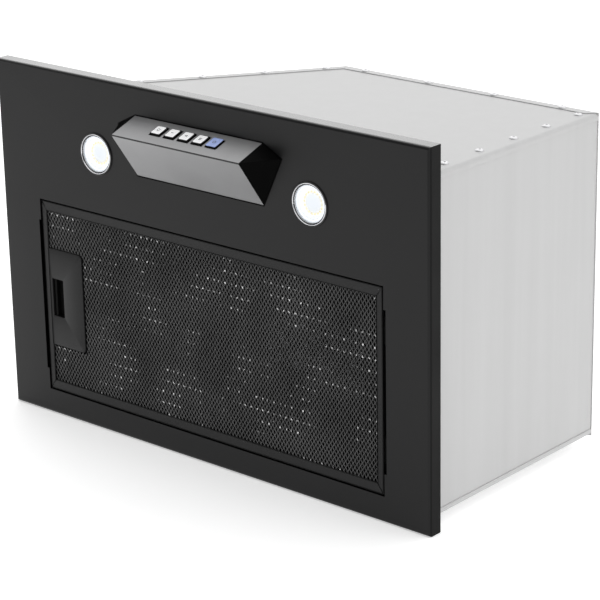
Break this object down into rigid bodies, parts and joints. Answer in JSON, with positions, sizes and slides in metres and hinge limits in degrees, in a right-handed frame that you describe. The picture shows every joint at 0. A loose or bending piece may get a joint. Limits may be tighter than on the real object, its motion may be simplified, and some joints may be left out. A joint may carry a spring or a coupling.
{
  "type": "under cabinet range hood",
  "caption": "Built-in range hood: black folded panel with swing-out mesh filter, lamps and push buttons on a sheet-metal body with a scroll blower.",
  "frame": {"origin": "centre of the rectangle formed by the rear edge of the panel's rim, the plane that meets the underside of the cabinet", "axes": "+X to the viewer's right along the panel's width, +Y from the panel into the cabinet along the duct, +Z towards the panel edge that carries the controls; in service the hood is turned so that -Y faces down over the cooker and +Z faces the cook"},
  "size_m": [0.525, 0.336, 0.352],
  "materials": {
    "panel_black": "satin black paint",
    "body_sheet": "satin light grey zinc-coated sheet",
    "rivet_steel": "satin",
    "zinc_sheet": "galvanised",
    "seat_black": "satin black paint",
    "filter_black": "satin black paint",
    "mesh_black": "semi-gloss black paint",
    "mesh_aluminium": "satin",
    "latch_plastic": "matt",
    "spring_steel": "bright",
    "housing_gloss": "gloss",
    "button_silver": "satin silver",
    "button_blue": "gloss, lit blue",
    "switch_plastic": "matt",
    "board_green": "matt",
    "lamp_chrome": "bright",
    "lamp_glass": "clear",
    "lamp_board": "matt white",
    "cast_aluminium": "cast",
    "duct_plastic": "matt",
    "flap_aluminium": "mill",
    "box_plastic": "matt",
    "loom_rubber": "matt"
  },
  "bodies": {
    "hood": {"front_panel": "panel_black", "top_cover": "body_sheet", "bottom_cover": "body_sheet", "right_side_wall": "body_sheet", "slanted_side_wall": "body_sheet", "back_wall": "body_sheet", "top_rivets": "rivet_steel", "bottom_rivets": "rivet_steel", "mounting_frame": "zinc_sheet", "panel_nuts": "rivet_steel", "filter_seat": "seat_black", "control_housing": "housing_gloss", "switch_block": "switch_plastic", "control_board": "board_green", "lamp_ring_left": "lamp_chrome", "lamp_ring_right": "lamp_chrome", "lamp_lens_left": "lamp_glass", "lamp_lens_right": "lamp_glass", "lamp_board_left": "lamp_board", "lamp_board_right": "lamp_board", "lamp_cup_left": "cast_aluminium", "lamp_cup_right": "cast_aluminium", "scroll_wrap": "zinc_sheet", "scroll_side_left": "zinc_sheet", "scroll_side_right": "zinc_sheet", "motor": "cast_aluminium", "motor_bracket": "zinc_sheet", "bracket_screws": "rivet_steel", "duct_collar": "duct_plastic", "cord_gland": "duct_plastic", "terminal_box": "box_plastic", "terminal_lid": "box_plastic", "led_driver": "box_plastic", "capacitor": "cast_aluminium", "capacitor_clip": "zinc_sheet", "wiring_loom": "loom_rubber"},
    "filter": {"filter_frame": "filter_black", "filter_front_mesh": "mesh_black", "filter_core_mesh": "mesh_aluminium", "filter_back_mesh": "mesh_black", "filter_hook_tabs": "filter_black", "filter_handle": "filter_black"},
    "latch": {"latch_slider": "latch_plastic", "latch_spring": "spring_steel"},
    "impeller_drum": {"impeller": "switch_plastic", "motor_shaft": "spring_steel"},
    "flap_left": {"damper_flap_left": "flap_aluminium"},
    "flap_right": {"damper_flap_right": "flap_aluminium"},
    "push_button_1": {"button_1": "button_silver"},
    "push_button_2": {"button_2": "button_silver"},
    "push_button_3": {"button_3": "button_silver"},
    "push_button_4": {"button_4": "button_silver"},
    "push_button_5": {"button_5": "button_blue"}
  },
  "joints": [
    {"name": "filter_swing", "type": "hinge", "parent": "hood", "child": "filter", "pos_m": [0.21, -0.0145, -0.053], "axis": [0, 0, 1], "range_deg": [0, 75]},
    {"name": "latch_slide", "type": "slide", "parent": "filter", "child": "latch", "axis": [1, 0, 0], "range_m": [0, 0.005], "stiffness_N_per_m": 300, "springref_m": -0.004},
    {"name": "button_1_press", "type": "slide", "parent": "hood", "child": "push_button_1", "axis": [0, 0.3344, -0.9424], "range_m": [0, 0.0025], "stiffness_N_per_m": 500, "springref_m": -0.001},
    {"name": "button_2_press", "type": "slide", "parent": "hood", "child": "push_button_2", "axis": [0, 0.3344, -0.9424], "range_m": [0, 0.0025], "stiffness_N_per_m": 500, "springref_m": -0.001},
    {"name": "button_3_press", "type": "slide", "parent": "hood", "child": "push_button_3", "axis": [0, 0.3344, -0.9424], "range_m": [0, 0.0025], "stiffness_N_per_m": 500, "springref_m": -0.001},
    {"name": "button_4_press", "type": "slide", "parent": "hood", "child": "push_button_4", "axis": [0, 0.3344, -0.9424], "range_m": [0, 0.0025], "stiffness_N_per_m": 500, "springref_m": -0.001},
    {"name": "button_5_press", "type": "slide", "parent": "hood", "child": "push_button_5", "axis": [0, 0.3344, -0.9424], "range_m": [0, 0.0025], "stiffness_N_per_m": 500, "springref_m": -0.001},
    {"name": "impeller_spin", "type": "hinge", "parent": "hood", "child": "impeller_drum", "pos_m": [0.105, 0.118, -0.061], "axis": [1, 0, 0], "continuous": true},
    {"name": "damper_left_swing", "type": "hinge", "parent": "hood", "child": "flap_left", "pos_m": [0.1015, 0.249, -0.009], "axis": [0, 0, -1], "range_deg": [0, 80]},
    {"name": "damper_right_swing", "type": "hinge", "parent": "hood", "child": "flap_right", "pos_m": [0.1085, 0.249, -0.009], "axis": [0, 0, 1], "range_deg": [0, 80]}
  ]
}
